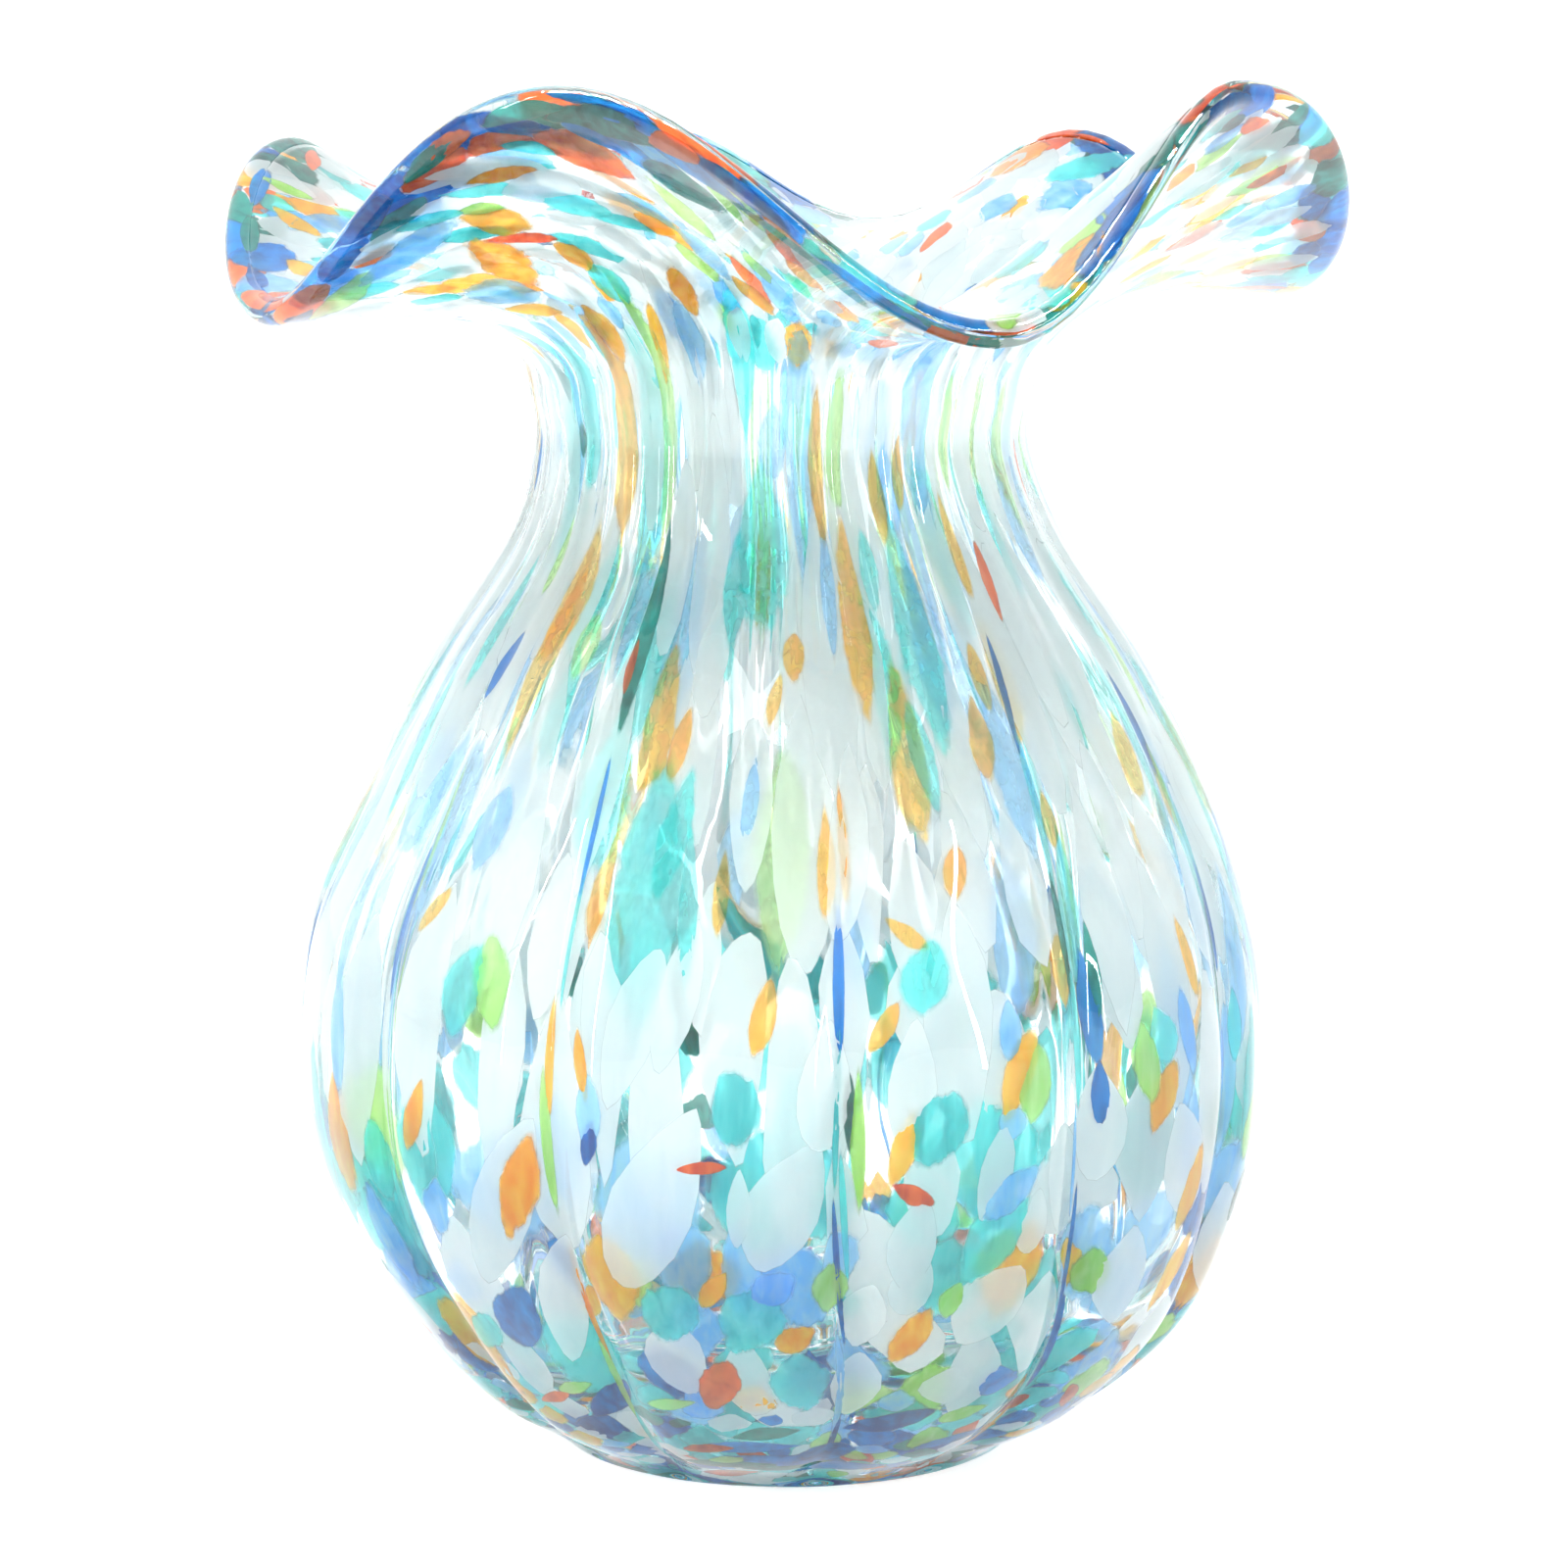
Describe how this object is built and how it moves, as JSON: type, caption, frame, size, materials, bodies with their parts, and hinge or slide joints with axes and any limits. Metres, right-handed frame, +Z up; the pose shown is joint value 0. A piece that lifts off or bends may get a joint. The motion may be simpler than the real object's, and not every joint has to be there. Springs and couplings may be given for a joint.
{
  "type": "blown glass vase",
  "caption": "Pear-shaped blown glass vase with a ribbed body, slim neck and ruffled flared rim, with coloured glass chips cased between two clear layers.",
  "frame": {"origin": "centre of the ground base that the vase stands on, on the axis of the body", "axes": "+Z up along the axis of the body, -Y towards the front, +X to the right seen from the front"},
  "size_m": [0.1901, 0.1949, 0.2359],
  "materials": {
    "clear_casing": "polished clear glass with a faint aqua tint",
    "clear_gather": "polished clear glass",
    "opal_white": "smooth opal glass, slightly translucent",
    "turquoise": "smooth transparent to opal glass",
    "sky_blue": "smooth transparent glass",
    "cobalt_blue": "smooth transparent glass",
    "amber": "smooth opal glass",
    "coral_red": "smooth opal glass",
    "lime_green": "smooth transparent glass",
    "bottle_green": "smooth transparent glass"
  },
  "bodies": {
    "root": {"outer_casing": "clear_casing", "inner_gather": "clear_gather", "opal_white_chips": "opal_white", "turquoise_chips": "turquoise", "sky_blue_chips": "sky_blue", "cobalt_blue_chips": "cobalt_blue", "amber_chips": "amber", "coral_red_chips": "coral_red", "lime_green_chips": "lime_green", "bottle_green_chips": "bottle_green"}
  },
  "joints": []
}
